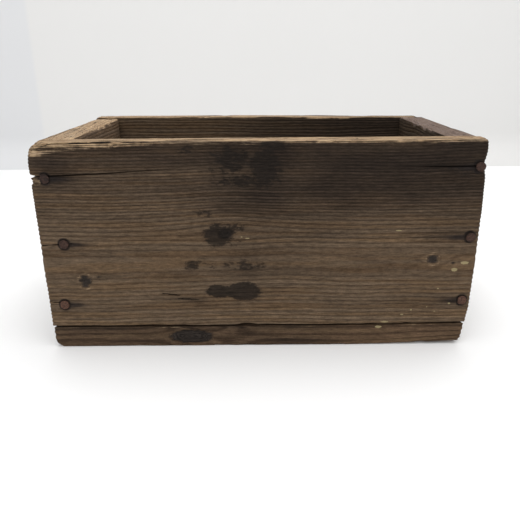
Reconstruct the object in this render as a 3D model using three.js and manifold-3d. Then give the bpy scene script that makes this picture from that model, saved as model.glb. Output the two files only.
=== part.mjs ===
// A nailed wooden orchard crate: two long side boards stand on the bottom boards and clasp two
// thicker end boards, and common wire nails hold every joint.
// Millimetres, +X along the crate, +Y towards its back, +Z up. The origin is at the middle of the
// crate, on the surface that it stands on.

import * as THREE from 'three';
import { mergeVertices } from 'three/addons/utils/BufferGeometryUtils.js';
import Module from 'manifold-3d';

// Driving dimensions of the crate
const LENGTH = 460;
const DEPTH = 268; // over the outer faces of the two side boards
const HEIGHT = 227; // to the tops of the two side boards
const SIDE_THICKNESS = 25.5;
const LEFT_END_THICKNESS = 33.5;
const RIGHT_END_THICKNESS = 31.7;
const BOTTOM_THICKNESS = 24;
const BOTTOM_BOARD_GAP = 3;
const SIDE_LIFT = 1.7; // the open joint between the bottom boards and the side boards
const END_DROP = 2; // the end boards finish this far below the side boards
const END_WEAR = 3; // worn-down arrises along the tops of the end boards
const TOUCH = 0.3; // clearance between pieces that touch

// Places that the dimensions above set
const LEFT = -LENGTH / 2;
const RIGHT = LENGTH / 2;
const FRONT = -DEPTH / 2;
const BACK = DEPTH / 2;
const SIDE_BASE = BOTTOM_THICKNESS + SIDE_LIFT;
const END_BASE = BOTTOM_THICKNESS + TOUCH;
const END_TOP = HEIGHT - END_DROP;
const END_WIDTH = DEPTH - 2 * (SIDE_THICKNESS + TOUCH);
const BOTTOM_BOARD_WIDTH = (DEPTH - 2 * BOTTOM_BOARD_GAP) / 3;
const BOTTOM_BOARD_PITCH = BOTTOM_BOARD_WIDTH + BOTTOM_BOARD_GAP;

// The split that runs in from the left end of the front board
const SPLIT_Z = 193;
const SPLIT_MOUTH = 3.4;
const SPLIT_THROAT = 1;
const SPLIT_LENGTH = 84;
const SPLIT_RISE = 3.5;

// Common wire nails
const SIDE_NAIL = { length: 102, shank: 4.9, head: 10.3, headThickness: 1.8, point: 8 };
const BOTTOM_NAIL = { length: 76, shank: 3.8, head: 7.9, headThickness: 1.5, point: 6 };
const NAIL_SIDES = 12;
const POCKET_DEPTH = 6; // how far a nail's clearance cut reaches out past its head
const HEAD_RECESS = 0.6; // the bottom nails' heads lie this far inside the underside
const HEAD_STANDOFF = -1.2; // the bearing face of a nail that has crept out stands off the board

const SIDE_BOARD_MATERIAL = { color: 0x544537, roughness: 0.9, metalness: 0 };
const END_BOARD_MATERIAL = { color: 0x5c4b3b, roughness: 0.9, metalness: 0 };
const BOTTOM_BOARD_MATERIAL = { color: 0x50402f, roughness: 0.92, metalness: 0 };
const NAIL_MATERIAL = { color: 0x56413a, roughness: 0.7, metalness: 0.5 };

const wasm = await Module();
wasm.setup();

function toSolid(geometry) {
  const bare = geometry.clone();
  bare.deleteAttribute('normal');
  bare.deleteAttribute('uv');
  const merged = mergeVertices(bare, 1e-4);
  const vertProperties = new Float32Array(merged.attributes.position.array);
  const triVerts = new Uint32Array(merged.index.array);
  return new wasm.Manifold(new wasm.Mesh({ numProp: 3, vertProperties, triVerts }));
}

function toGeometry(solid) {
  const mesh = solid.getMesh();
  const geometry = new THREE.BufferGeometry();
  geometry.setAttribute('position', new THREE.BufferAttribute(mesh.vertProperties, 3));
  geometry.setIndex(new THREE.BufferAttribute(mesh.triVerts, 1));
  geometry.computeVertexNormals();
  return geometry;
}

function paint(look) {
  return new THREE.MeshStandardMaterial({ ...look, flatShading: true });
}

// A board is an outline seen from the front, drawn in X and Z, with its width running along Y.
function board(name, outline, width, middleY, look) {
  const geometry = new THREE.ExtrudeGeometry(outline, {
    depth: width,
    bevelEnabled: false,
    curveSegments: 4,
  });
  const mesh = new THREE.Mesh(geometry, paint(look));
  mesh.name = name;
  mesh.rotation.x = Math.PI / 2;
  mesh.position.y = middleY + width / 2;
  return mesh;
}

// The front board: its left end has a rounded upper corner and the mouth of the split, and its
// right end is chipped beside the top nail.
function frontBoardOutline() {
  const splitEnd = LEFT + SPLIT_LENGTH;
  const throat = LEFT + 6;
  const outline = new THREE.Shape();
  outline.moveTo(LEFT + 0.5, SIDE_BASE);
  outline.lineTo(RIGHT - 3, SIDE_BASE);
  outline.lineTo(RIGHT, SIDE_BASE + 32);
  outline.lineTo(RIGHT, 95);
  outline.lineTo(RIGHT - 2.2, 192);
  outline.quadraticCurveTo(RIGHT - 6.5, 204, RIGHT - 4.5, 214);
  outline.quadraticCurveTo(RIGHT - 2.8, HEIGHT - 9, RIGHT - 3.2, HEIGHT);
  outline.lineTo(LEFT + 9, HEIGHT);
  outline.quadraticCurveTo(LEFT + 2, HEIGHT, LEFT, HEIGHT - 11);
  outline.quadraticCurveTo(LEFT, SPLIT_Z + 3, LEFT + 3, SPLIT_Z + SPLIT_MOUTH / 2);
  outline.lineTo(throat, SPLIT_Z + SPLIT_THROAT / 2);
  outline.lineTo(splitEnd, SPLIT_Z + SPLIT_RISE);
  outline.lineTo(throat, SPLIT_Z - SPLIT_THROAT / 2);
  outline.lineTo(LEFT + 0.8, SPLIT_Z - SPLIT_MOUTH / 2);
  outline.lineTo(LEFT, SPLIT_Z - 25);
  return outline;
}

function backBoardOutline() {
  const outline = new THREE.Shape();
  outline.moveTo(LEFT + 1, SIDE_BASE);
  outline.lineTo(RIGHT - 0.5, SIDE_BASE);
  outline.lineTo(RIGHT - 1.5, HEIGHT - 8);
  outline.quadraticCurveTo(RIGHT - 2, HEIGHT, RIGHT - 8, HEIGHT);
  outline.lineTo(LEFT + 7, HEIGHT);
  outline.quadraticCurveTo(LEFT + 0.5, HEIGHT, LEFT, HEIGHT - 10);
  return outline;
}

// The top of an end board, with both of its long arrises worn off.
function endBoardOutline(left, right) {
  const outline = new THREE.Shape();
  outline.moveTo(left, END_BASE);
  outline.lineTo(right, END_BASE);
  outline.lineTo(right, END_TOP - END_WEAR);
  outline.quadraticCurveTo(right, END_TOP, right - END_WEAR, END_TOP);
  outline.lineTo(left + END_WEAR, END_TOP);
  outline.quadraticCurveTo(left, END_TOP, left, END_TOP - END_WEAR);
  return outline;
}

// A bottom board: each lower corner is worn round, and the right end may be cut on a slant.
function bottomBoardOutline(left, right, leftRound, rightRound, slant) {
  const foot = right - slant;
  const outline = new THREE.Shape();
  outline.moveTo(left + leftRound, 0);
  outline.lineTo(foot - rightRound, 0);
  outline.quadraticCurveTo(foot, 0, foot, rightRound);
  outline.lineTo(right, BOTTOM_THICKNESS);
  outline.lineTo(left, BOTTOM_THICKNESS);
  outline.lineTo(left, leftRound);
  outline.quadraticCurveTo(left, 0, left + leftRound, 0);
  return outline;
}

// A nail stands along its own Y axis, point down, with the bearing face of its head at the
// origin. With a clearance, the same shape becomes the hole that the nail sits in.
function nailGeometry(kind, clearance = 0) {
  const shank = kind.shank / 2 + clearance;
  const head = kind.head / 2 + clearance;
  const tip = -kind.length - 2 * clearance;
  const profile = [
    new THREE.Vector2(0, tip),
    new THREE.Vector2(shank, tip + kind.point),
    new THREE.Vector2(shank, -clearance),
    new THREE.Vector2(head, -clearance),
  ];
  if (clearance > 0) {
    profile.push(new THREE.Vector2(head, POCKET_DEPTH));
    profile.push(new THREE.Vector2(0, POCKET_DEPTH));
  } else {
    profile.push(new THREE.Vector2(head, kind.headThickness * 0.7));
    profile.push(new THREE.Vector2(head * 0.85, kind.headThickness));
    profile.push(new THREE.Vector2(0, kind.headThickness));
  }
  return new THREE.LatheGeometry(profile, NAIL_SIDES);
}

// facing turns the head towards -Y (front), +Y (back) or -Z (underside); lean and pitch are the
// small angles that it was driven at, in degrees.
const FACING = { front: Math.PI, back: 0, underside: -Math.PI / 2 };

function nail(name, kind, facing, position, angles = {}) {
  const mesh = new THREE.Mesh(nailGeometry(kind), paint(NAIL_MATERIAL));
  const pitch = THREE.MathUtils.degToRad(angles.pitch ?? 0);
  const lean = THREE.MathUtils.degToRad(angles.lean ?? 0);
  mesh.name = name;
  mesh.position.set(...position);
  mesh.rotation.set(FACING[facing] + pitch, 0, lean);
  mesh.userData.kind = kind;
  return mesh;
}

function sideNail(side, label, x, z, sink, angles) {
  const y = side === 'front' ? FRONT + sink : BACK - sink;
  return nail(`${side}_nail_${label}`, SIDE_NAIL, side, [x, y, z], angles);
}

function bottomNail(label, x, y) {
  const z = HEAD_RECESS + BOTTOM_NAIL.headThickness;
  return nail(`bottom_nail_${label}`, BOTTOM_NAIL, 'underside', [x, y, z]);
}

// Cuts the nails' holes in every board that they pass through.
function drill(boards, nails) {
  for (const target of boards) {
    target.updateMatrixWorld(true);
    const toBoard = target.matrixWorld.clone().invert();
    let solid = toSolid(target.geometry);
    for (const piece of nails) {
      piece.updateMatrixWorld(true);
      const hole = nailGeometry(piece.userData.kind, TOUCH);
      hole.applyMatrix4(piece.matrixWorld);
      hole.applyMatrix4(toBoard);
      solid = solid.subtract(toSolid(hole));
    }
    target.geometry = toGeometry(solid);
  }
}

const FRONT_NAILS = [
  sideNail('front', 'left_top', -215.4, 190.8, 1, { lean: 1.2 }),
  sideNail('front', 'left_middle', -204.8, 121.3, 0.7, { pitch: -1 }),
  sideNail('front', 'left_bottom', -212.9, 52, 0.5, { lean: -0.8 }),
  sideNail('front', 'right_top', 221.7, 199.9, 0.4, { pitch: 1.5 }),
  sideNail('front', 'right_middle', 220.2, 126.4, HEAD_STANDOFF),
  sideNail('front', 'right_bottom', 220.3, 54, 0.5, { pitch: -1.2 }),
];

const BACK_NAILS = [
  sideNail('back', 'left_top', -215, 196, 0.6, { lean: -1 }),
  sideNail('back', 'left_middle', -219, 118, HEAD_STANDOFF),
  sideNail('back', 'left_bottom', -215, 57, 0.8, { pitch: 1 }),
  sideNail('back', 'right_top', 216, 193, 0.7, { lean: 0.8 }),
  sideNail('back', 'right_middle', 220, 128, 0.4, { pitch: -0.8 }),
  sideNail('back', 'right_bottom', 218.5, 50, 0.9, { lean: 1.2 }),
];

const BOTTOM_ROWS = { front: -BOTTOM_BOARD_PITCH, middle: 0, back: BOTTOM_BOARD_PITCH };
const END_NAIL_SPREAD = 17; // half the distance between the two nails in a bottom board's end
const END_NAIL_INSET = 15; // keeps the outer boards' nails inside the end boards
const END_NAIL_X = { left: -204, right: 208 };
const END_NAIL_STAGGER = 2; // every second nail is this much nearer to the middle of the crate
const EDGE_NAIL_X = [-115, 5, 118];

function endNails() {
  const nails = [];
  for (const [end, x] of Object.entries(END_NAIL_X)) {
    for (const [row, middle] of Object.entries(BOTTOM_ROWS)) {
      const y = middle - Math.sign(middle) * END_NAIL_INSET;
      const inner = x - Math.sign(x) * END_NAIL_STAGGER;
      nails.push(bottomNail(`${end}_${row}_1`, x, y - END_NAIL_SPREAD));
      nails.push(bottomNail(`${end}_${row}_2`, inner, y + END_NAIL_SPREAD));
    }
  }
  return nails;
}

function edgeNails(row, y) {
  return EDGE_NAIL_X.map((x, i) => bottomNail(`${row}_edge_${i + 1}`, x, y));
}

const EDGE_Y = BACK - SIDE_THICKNESS / 2;
const BOTTOM_NAILS = [...endNails(), ...edgeNails('front', -EDGE_Y), ...edgeNails('back', EDGE_Y)];

const SIDE_BOARDS = [
  board('front_board', frontBoardOutline(), SIDE_THICKNESS, -EDGE_Y, SIDE_BOARD_MATERIAL),
  board('back_board', backBoardOutline(), SIDE_THICKNESS, EDGE_Y, SIDE_BOARD_MATERIAL),
];

const END_BOARDS = [
  board(
    'left_end_board',
    endBoardOutline(LEFT + 1, LEFT + 1 + LEFT_END_THICKNESS),
    END_WIDTH,
    0,
    END_BOARD_MATERIAL,
  ),
  board(
    'right_end_board',
    endBoardOutline(RIGHT - 1 - RIGHT_END_THICKNESS, RIGHT - 1),
    END_WIDTH,
    0,
    END_BOARD_MATERIAL,
  ),
];

const BOTTOM_OUTLINES = {
  front: bottomBoardOutline(LEFT + 0.5, RIGHT - 3.5, 8, 3, 3.5),
  middle: bottomBoardOutline(LEFT + 2, RIGHT - 1, 3, 3, 0.5),
  back: bottomBoardOutline(LEFT + 1, RIGHT - 2, 4, 6, 1),
};
const BOTTOM_BOARDS = Object.entries(BOTTOM_ROWS).map(([row, y]) =>
  board(`bottom_board_${row}`, BOTTOM_OUTLINES[row], BOTTOM_BOARD_WIDTH, y, BOTTOM_BOARD_MATERIAL),
);

const BOARDS = [...SIDE_BOARDS, ...END_BOARDS, ...BOTTOM_BOARDS];
const NAILS = [...FRONT_NAILS, ...BACK_NAILS, ...BOTTOM_NAILS];
drill(BOARDS, NAILS);

const crate = new THREE.Group();
crate.add(...BOARDS, ...NAILS);

export default crate;
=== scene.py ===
"""A weathered, nailed orchard crate, standing on a pale studio floor.

Every board is a fine closed mesh made from its CAD node's box: raised growth rings, worn arrises,
splits, chips and torn ends are real geometry. The same fields are kept as attributes, and the wood
material reads them for its colour. Lengths are in millimetres until a mesh is made.
"""

import math

import bmesh
import bpy
import numpy as np
from mathutils import Matrix, Vector


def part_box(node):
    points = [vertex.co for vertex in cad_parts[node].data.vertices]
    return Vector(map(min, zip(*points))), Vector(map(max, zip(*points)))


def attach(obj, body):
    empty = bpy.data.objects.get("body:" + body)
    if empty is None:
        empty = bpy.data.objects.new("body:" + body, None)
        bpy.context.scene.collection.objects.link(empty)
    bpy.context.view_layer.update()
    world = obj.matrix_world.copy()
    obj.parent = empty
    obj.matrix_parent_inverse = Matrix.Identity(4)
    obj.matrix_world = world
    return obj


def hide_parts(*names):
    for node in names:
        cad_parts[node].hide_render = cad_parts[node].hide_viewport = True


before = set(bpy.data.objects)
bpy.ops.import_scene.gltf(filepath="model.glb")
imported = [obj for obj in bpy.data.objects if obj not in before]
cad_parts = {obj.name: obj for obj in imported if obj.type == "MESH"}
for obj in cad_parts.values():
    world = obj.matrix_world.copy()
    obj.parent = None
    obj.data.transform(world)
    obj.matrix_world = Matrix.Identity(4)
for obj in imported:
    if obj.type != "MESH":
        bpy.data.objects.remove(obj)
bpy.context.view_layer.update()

MM = 0.001
X, Y, Z = 0, 1, 2
COARSE = 1.0


def new_object(name, data):
    thing = bpy.data.objects.new(name, data)
    bpy.context.scene.collection.objects.link(thing)
    return thing


# -------- numbers and noise


def smooth(low, high, value):
    """0 below low, 1 above high and smooth in between; low may be the larger."""
    share = np.clip((value - low) / (high - low), 0, 1)
    return share * share * (3 - 2 * share)


def bell(value, width):
    return np.exp(-((value / width) ** 2))


def blend(share, a, b):
    """a where share is 0, b where it is 1."""
    return a * (1 - share) + b * share


def lattice_value(cell, seed):
    """A repeatable number from 0 to 1 for each whole-number point."""
    cell = cell.astype(np.uint64)
    mixed = cell[:, 0] * np.uint64(0x9E3779B1) + cell[:, 1] * np.uint64(0x85EBCA77)
    mixed += cell[:, 2] * np.uint64(0xC2B2AE3D) + np.uint64(seed * 0x27D4EB2F)
    mixed ^= mixed >> np.uint64(15)
    mixed *= np.uint64(0x2C1B3C6D)
    mixed ^= mixed >> np.uint64(12)
    mixed *= np.uint64(0x297A2D39)
    mixed ^= mixed >> np.uint64(15)
    return (mixed & np.uint64(0xFFFFFF)).astype(float) / 0xFFFFFF


def value_noise(points, seed):
    cell = np.floor(points)
    part = points - cell
    part = part**3 * (part * (part * 6 - 15) + 10)
    cell = cell.astype(np.int64) + 100000
    total = np.zeros(len(points))
    for corner in range(8):
        step = np.array([corner & 1, corner >> 1 & 1, corner >> 2 & 1])
        weight = np.prod(np.where(step, part, 1 - part), axis=1)
        total += weight * lattice_value(cell + step, seed)
    return total * 2 - 1


def fbm(points, size, seed, octaves=3):
    """Smooth noise from about -1 to 1. size is its grain in mm along each axis of points."""
    scaled = points / np.asarray(size, float)
    total, gain, most = 0, 1, 0
    for octave in range(octaves):
        total = total + gain * value_noise(scaled * 2**octave + 31.7 * octave, seed + octave)
        most += gain
        gain /= 2
    return total / most


# -------- board meshes


def grid_lines(low, high, step, close_spots=()):
    """Grid lines from low to high, step apart, and closer round each (place, reach, step)."""
    places = [low]
    while places[-1] < high:
        at = places[-1]
        steps = [near + 0.25 * max(0, abs(at - place) - reach) for place, reach, near in close_spots]
        places.append(at + min([step, *steps]) * COARSE)
    places = np.array(places)
    return low + (places - low) * (high - low) / (places[-1] - low)


class Board:
    """One board in its own coordinates, in mm: s along its grain, t across its face, and d in
    through its thickness from the outer face. s and t are the crate's own coordinates."""

    def __init__(self, node, along, across, outward, seed, steps=(3.4, 0.95), s_spots=(), t_spots=()):
        low, high = (np.array(corner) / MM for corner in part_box(node))
        self.node, self.seed, self.outward = node, seed, outward
        self.axes = (along, across, 3 - along - across)
        through = self.axes[2]
        self.face_at = high[through] if outward > 0 else low[through]
        self.thickness = high[through] - low[through]
        self.low = np.array([low[along], low[across], 0.0])
        self.high = np.array([high[along], high[across], self.thickness])
        end_spots = [(self.low[0], 30, 1.3), (self.high[0], 30, 1.3)]
        rim_spots = [(self.low[1], 2, 0.6), (self.high[1], 3, 0.6)]
        edge_spots = [(0, 1, 0.5), (self.thickness, 1, 0.5)]
        s_lines = grid_lines(self.low[0], self.high[0], steps[0], [*end_spots, *s_spots])
        t_lines = grid_lines(self.low[1], self.high[1], steps[1], [*rim_spots, *t_spots])
        d_lines = grid_lines(0, self.thickness, 1.3, edge_spots)
        self.t_lines = t_lines
        self._lattice(s_lines, t_lines, d_lines)
        names = ("wear", "soot_and_shade", "stain", "crack_and_shadow", "rust", "faint")
        self.fields = {name: np.zeros(len(self.flat)) for name in names}
        self.sink = np.zeros(len(self.flat))
        self.spare = 0.0  # how far the inner face may stand beyond the box
        self.ragged = self.noise((9, 2.5, 2.5), 40)

    def _lattice(self, s_lines, t_lines, d_lines):
        shape = (len(s_lines), len(t_lines), len(d_lines))
        outside = np.ones(shape, bool)
        outside[1:-1, 1:-1, 1:-1] = False
        ids = np.full(shape, -1)
        ids[outside] = np.arange(outside.sum())
        grid = np.stack(np.meshgrid(s_lines, t_lines, d_lines, indexing="ij"), -1)
        self.flat = grid[outside]
        # each side: its point numbers, the two coordinates that span it, and whether to turn it
        self.sides = [
            (ids[:, :, 0], (0, 1), True),
            (ids[:, :, -1], (0, 1), False),
            (ids[:, 0, :], (0, 2), False),
            (ids[:, -1, :], (0, 2), True),
            (ids[0], (1, 2), True),
            (ids[-1], (1, 2), False),
        ]

    def noise(self, size, seed, octaves=2):
        """Noise over the plain box, whose grain is size mm long, high and deep."""
        return fbm(self.flat, size, self.seed + seed, octaves)

    @property
    def coordinates(self):
        """s, t and d of every point of the plain box."""
        return self.flat.T

    def mark(self, name, values):
        """Raises a field to values wherever it is lower."""
        self.fields[name] = np.maximum(self.fields[name], values)

    def edge_distance(self):
        """How far each point of the plain box is from the nearest arris."""
        gaps = np.minimum(self.flat - self.low, self.high - self.flat)
        return np.sort(gaps, axis=1)[:, 1]

    def round_edges(self, radius, least=0.5):
        """Rounds the arrises. radius is one number for each point."""
        radius = np.clip(radius, least, self.thickness * 0.45)[:, None]
        core = np.clip(self.flat, self.low + radius, self.high - radius)
        out = self.flat - core
        self.normal = out / np.linalg.norm(out, axis=1)[:, None]
        self.shape = core + self.normal * radius

    def facing(self, axis, sign):
        """1 where the surface faces that way, 0 where it doesn't."""
        return np.clip(self.normal[:, axis] * sign, 0, 1) ** 2

    def follow_split(self, path, band=9.0):
        """Bends the grid rows near a split so that one row lies on it. path is t along s."""
        row = self.t_lines[np.argmin(np.abs(self.t_lines - np.mean(path)))]
        across = self.flat[:, 1] - row
        self.flat[:, 1] += (path - row) * smooth(band, 0, np.abs(across))
        return across

    def trim_ends(self, start, end, band=22.0):
        """Moves the start and end faces inward by start and end, given for each point."""
        from_start = self.shape[:, 0] - self.low[0]
        from_end = self.high[0] - self.shape[:, 0]
        self.shape[:, 0] += start * smooth(band, 0, from_start)
        self.shape[:, 0] -= end * smooth(band, 0, from_end)

    def place(self):
        """The finished points in the crate's frame, in mm."""
        local = self.shape - self.normal * self.sink[:, None]
        local = np.clip(local, self.low, self.high + (0, 0, self.spare))
        local[:, 2] = self.face_at - self.outward * local[:, 2]
        return local[:, np.argsort(self.axes)]

    def turned(self):
        """Whether s, t, d is a left-handed set in the crate's frame."""
        basis = np.eye(3)[list(self.axes)]
        basis[2] *= -self.outward
        return np.linalg.det(basis) < 0

    def build(self, material):
        quads, corners = [], []
        atlas = Atlas([(self.high - self.low)[list(span)] for _, span, _ in self.sides])
        for number, (ids, span, turn) in enumerate(self.sides):
            quad = np.stack([ids[:-1, :-1], ids[1:, :-1], ids[1:, 1:], ids[:-1, 1:]], -1).reshape(-1, 4)
            if turn != self.turned():
                quad = quad[:, ::-1]
            quads.append(quad)
            local = (self.flat - self.low)[:, list(span)][quad]
            corners.append(atlas.place(number, local))
        mesh = closed_mesh(self.node + "_wood", self.place() * MM, np.concatenate(quads))
        layer = mesh.uv_layers.new(name="OFBake")
        layer.data.foreach_set("uv", np.concatenate(corners).astype(np.float32).ravel())
        for name, values in self.fields.items():
            attribute = mesh.attributes.new(name, "FLOAT", "POINT")
            attribute.data.foreach_set("value", np.asarray(values, np.float32))
        mesh.materials.append(material)
        piece = new_object(self.node + "_wood", mesh)
        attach(piece, "root")
        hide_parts(self.node)


class Atlas:
    """Lays out a board's six sides on one square, in rows, all at one scale."""

    GAP = 4.0

    def __init__(self, sizes):
        sizes = [(max(size), min(size)) for size in sizes]
        longest = max(size[0] for size in sizes)
        choices = [self._rows(sizes, longest * share) for share in (1, 1.3, 1.6, 2.1)]
        self.spots, self.side = min(choices, key=lambda choice: choice[1])

    def _rows(self, sizes, width):
        spots = [None] * len(sizes)
        left, bottom, tallest, widest = 0, 0, 0, 0
        for number in sorted(range(len(sizes)), key=lambda i: (-sizes[i][1], -sizes[i][0])):
            across, up = sizes[number]
            if left and left + across > width:
                left, bottom, tallest = 0, bottom + tallest + self.GAP, 0
            spots[number] = (left, bottom)
            left += across + self.GAP
            tallest = max(tallest, up)
            widest = max(widest, left)
        return spots, max(widest, bottom + tallest + self.GAP)

    def place(self, number, local):
        """UVs of a side's corners, given in mm on that side; its longer edge lies along U."""
        size = local.reshape(-1, 2).max(0)
        if size[1] > size[0]:
            local = local[..., ::-1]
        spot = np.array(self.spots[number]) + self.GAP / 2
        return (local + spot) / (self.side + self.GAP / 2)


def closed_mesh(name, points, quads):
    mesh = bpy.data.meshes.new(name)
    mesh.vertices.add(len(points))
    mesh.vertices.foreach_set("co", points.astype(np.float32).ravel())
    mesh.loops.add(quads.size)
    mesh.loops.foreach_set("vertex_index", quads.astype(np.int32).ravel())
    mesh.polygons.add(len(quads))
    mesh.polygons.foreach_set("loop_start", np.arange(0, quads.size, 4, dtype=np.int32))
    mesh.polygons.foreach_set("use_smooth", np.ones(len(quads), bool))
    mesh.update(calc_edges=True)
    mesh.validate()
    return mesh


# -------- what wood does


def knot(s, t, radius, push, reach, fade, stretch=1.0, eye=0.0):
    """A knot at (s, t). It pushes the rings aside by push mm, over reach mm along the grain, and
    eye is how many rings close round it."""
    return dict(
        s=s, t=t, radius=radius, push=push, reach=reach, fade=fade, stretch=stretch, eye=eye)


def grow_rings(board, pith, pitch, knots=(), waver=0.5, inner_knots=(), tighter=None):
    """The growth rings, counted outward from the pith at (t, d), as a field on the surface.

    Inside a knot the rings are the knot's own. Above tighter they lie closer together."""
    s, t, d = board.coordinates
    points, seed = board.flat, board.seed
    wander = fbm(np.stack([s, t * 0.25, d * 0.25], 1), (130, 90, 90), seed + 1, 2)
    across = t - 4 * wander
    if tighter:
        across = across + 0.36 * np.maximum(across - tighter, 0)
    shown = [(k, smooth(14, 4, d)) for k in knots]
    shown += [(k, smooth(14, 4, board.thickness - d)) for k in inner_knots]
    for k, depth in shown:
        along, up = s - k["s"], t - k["t"]
        aside = np.tanh(up / (1.2 * k["radius"])) * np.exp(-np.abs(up) / k["fade"])
        across = across - depth * k["push"] * bell(along, k["reach"]) * aside
    rings = np.hypot(across - pith[0], d - pith[1]) / pitch
    rings += waver * fbm(points, (110, 12, 12), seed + 5, 2)
    for k, depth in shown:
        along, up = s - k["s"], t - k["t"]
        reach = np.where(along < 0, 34, 13)
        rings += depth * k["eye"] * np.exp(-np.abs(along) / reach - (up / (1.5 * k["radius"])) ** 2)
    core = np.zeros(len(s))
    for k, depth in shown:
        ragged = 1 + 0.22 * fbm(points, (3.5, 3.5, 3.5), seed + 9, 2)
        away = np.hypot((s - k["s"]) / k["stretch"], t - k["t"]) * ragged
        inside = smooth(k["radius"] + 0.8, k["radius"] - 0.8, away) * depth
        rings = blend(inside, rings, away / 1.3)
        core = np.maximum(core, inside)
    board.fields["ring"] = rings
    board.fields["knot"] = core


def halo_knots(board, knots, strength):
    """The wood just round a knot is paler."""
    s, t, d = board.coordinates
    for k in knots:
        beyond = np.hypot((s - k["s"]) / k["stretch"], t - k["t"]) - k["radius"]
        halo = strength * bell(beyond - 2.2, 2.2) * smooth(6, 2, d)
        board.mark("wear", halo)


def crests(board):
    """1 in the hard late wood of each ring, 0 in the soft early wood."""
    return 0.5 - 0.5 * np.cos(2 * np.pi * board.fields["ring"])


def raise_grain(board, depth, knots_sink=0.5):
    """Soft early wood has weathered away between the hard late wood of each ring."""
    core = board.fields["knot"]
    on_ends = board.facing(0, 1) + board.facing(0, -1)
    crest = crests(board)
    strength = 0.65 + 0.5 * board.noise((160, 22, 22), 20)
    worn = depth * strength * (1 - crest) * (1 - 0.7 * on_ends) * (1 - core)
    worn *= 1 - board.fields["faint"]
    worn += 0.12 * (1 + board.noise((14, 1.6, 1.6), 24))
    worn += 0.2 * (1 + board.noise((120, 30, 30), 27))
    board.sink += worn * (1 - 0.8 * board.facing(1, 1)) + knots_sink * core


def tear_ends(board, amount, seed):
    """Fibres broken off between the hard rings leave the ends ragged: how far in each end lies."""
    points = board.flat.copy()
    points[:, 0] = np.sign(points[:, 0]) * 50
    fine = fbm(points, (1, 2.2, 3.5), seed, 2)
    broad = fbm(points, (1, 14, 20), seed + 3, 2)
    return amount * (1 + 0.5 * fine + 0.5 * broad) + 0.6 * (1 - crests(board))


def chip(board, s, t, d, size, depth, pale=0.8):
    """A scoop broken out of an arris, longest along the grain, showing paler wood."""
    gap = (board.flat - (s, t, d)) / size
    away = np.linalg.norm(gap, axis=1) + 0.3 * board.ragged
    scoop = smooth(1.0, 0.35, away)
    board.sink += depth * scoop
    board.mark("wear", pale * smooth(1.1, 0.7, away))


def chips_along(board, count, seed, depth=1.6):
    """Small chips at random places along the four long arrises."""
    draw = np.random.default_rng(seed)
    for _ in range(count):
        s = draw.uniform(board.low[0], board.high[0])
        t = board.low[1] if draw.random() < 0.35 else board.high[1]
        d = 0 if draw.random() < 0.5 else board.thickness
        size = (draw.uniform(4, 16), draw.uniform(1.2, 3), draw.uniform(1.2, 3))
        chip(board, s, t, d, size, depth * draw.uniform(0.4, 1), pale=draw.uniform(0.1, 0.5))


def split_rim(board, amount, seed):
    """Thin layers have lifted and broken away along the top edge, which leaves long steps."""
    s, _, d = board.coordinates
    streak = fbm(np.stack([s, d, d * 0], 1), (60, 3.0, 1), seed)
    steps = 0.2 * smooth(-0.1, 0.0, streak) + 0.8 * smooth(0.22, 0.29, streak)
    on_top = board.facing(1, 1)
    board.sink += on_top * amount * steps
    edge = np.maximum(0.8 * bell(streak - 0.255, 0.04), 0.35 * bell(streak + 0.05, 0.04))
    board.mark("crack_and_shadow", on_top * edge)
    board.fields["wear"] -= 0.25 * on_top * steps


def open_split(board, across, width, depth):
    """Opens the split on the row that follow_split put there."""
    opened = (width / 2) * np.exp(-np.abs(across) / 1.5)
    board.shape[:, 1] += np.sign(across) * opened * (board.facing(2, -1) + board.facing(2, 1))
    board.sink += depth * smooth(0.45, 0.0, np.abs(across))
    line = smooth(0.6, 0.2, np.abs(across)) * smooth(0, 0.5, width)
    board.mark("crack_and_shadow", line)


def small_checks(board, checks):
    """Short drying cracks on the outer face, each (s0, t0, s1, t1, width, depth)."""
    s, t, _ = board.coordinates
    for s0, t0, s1, t1, width, depth in checks:
        share = np.clip((s - s0) / (s1 - s0), 0, 1)
        beyond = np.maximum(0, np.abs(s - (s0 + s1) / 2) - abs(s1 - s0) / 2)
        away = np.hypot(t - (t0 + share * (t1 - t0)), beyond * 0.6)
        line = smooth(width, width * 0.3, away) * board.facing(2, -1)
        board.sink += depth * line
        board.mark("crack_and_shadow", line)


def nail_marks(board, nails, head_radius, seat, streak):
    """Presses each head into the wood, and lets iron stain it along the grain.

    nails are (s, t) places; streak is how far the stain runs, towards the middle of the board."""
    s, t, d = board.coordinates
    near_face = smooth(3, 0, d)
    for s0, t0 in nails:
        along, up = s - s0, t - t0
        away = np.hypot(along, up)
        board.sink += seat * smooth(head_radius + 0.9, head_radius - 0.2, away) * near_face
        ring = smooth(head_radius + 3.5, head_radius + 0.3, away)
        towards = -np.sign(s0) * along
        tail = smooth(-4, 6, towards) * bell(towards, streak) * bell(up + 0.6, 4.0)
        halo = np.maximum(ring, tail)
        board.mark("rust", halo * near_face)


def wear_arrises(board, width, strength):
    """Handling rubs the grey off along every arris."""
    rubbed = strength * np.exp(-board.edge_distance() / width)
    rubbed *= 0.75 + 0.6 * board.noise((35, 3, 3), 60)
    board.mark("wear", rubbed)


def wear_rim(board, strength):
    """The top edge is rubbed down to bare wood."""
    patch = 0.68 + 0.5 * board.noise((60, 4, 4), 64, 3) + 0.3 * board.flat[:, 2] / board.thickness
    board.mark("wear", board.facing(1, 1) * strength * patch)


# -------- the boards

FRONT_NAIL_PLACES = [
    (-215.4, 190.8), (-204.8, 121.3), (-212.9, 52), (221.7, 199.9), (220.2, 126.4), (220.3, 54),
]

# how far in the front board's right end lies at each height
FRONT_END_LINE = [
    (26, 2.6), (44, 0.6), (90, 0), (165, 0.6), (190, 1.6), (203, 5), (209, 3.4), (216, 1.8), (225, 2.6),
]

CURL = 1.5  # how far the open joint under the front board rises towards the right end


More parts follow.
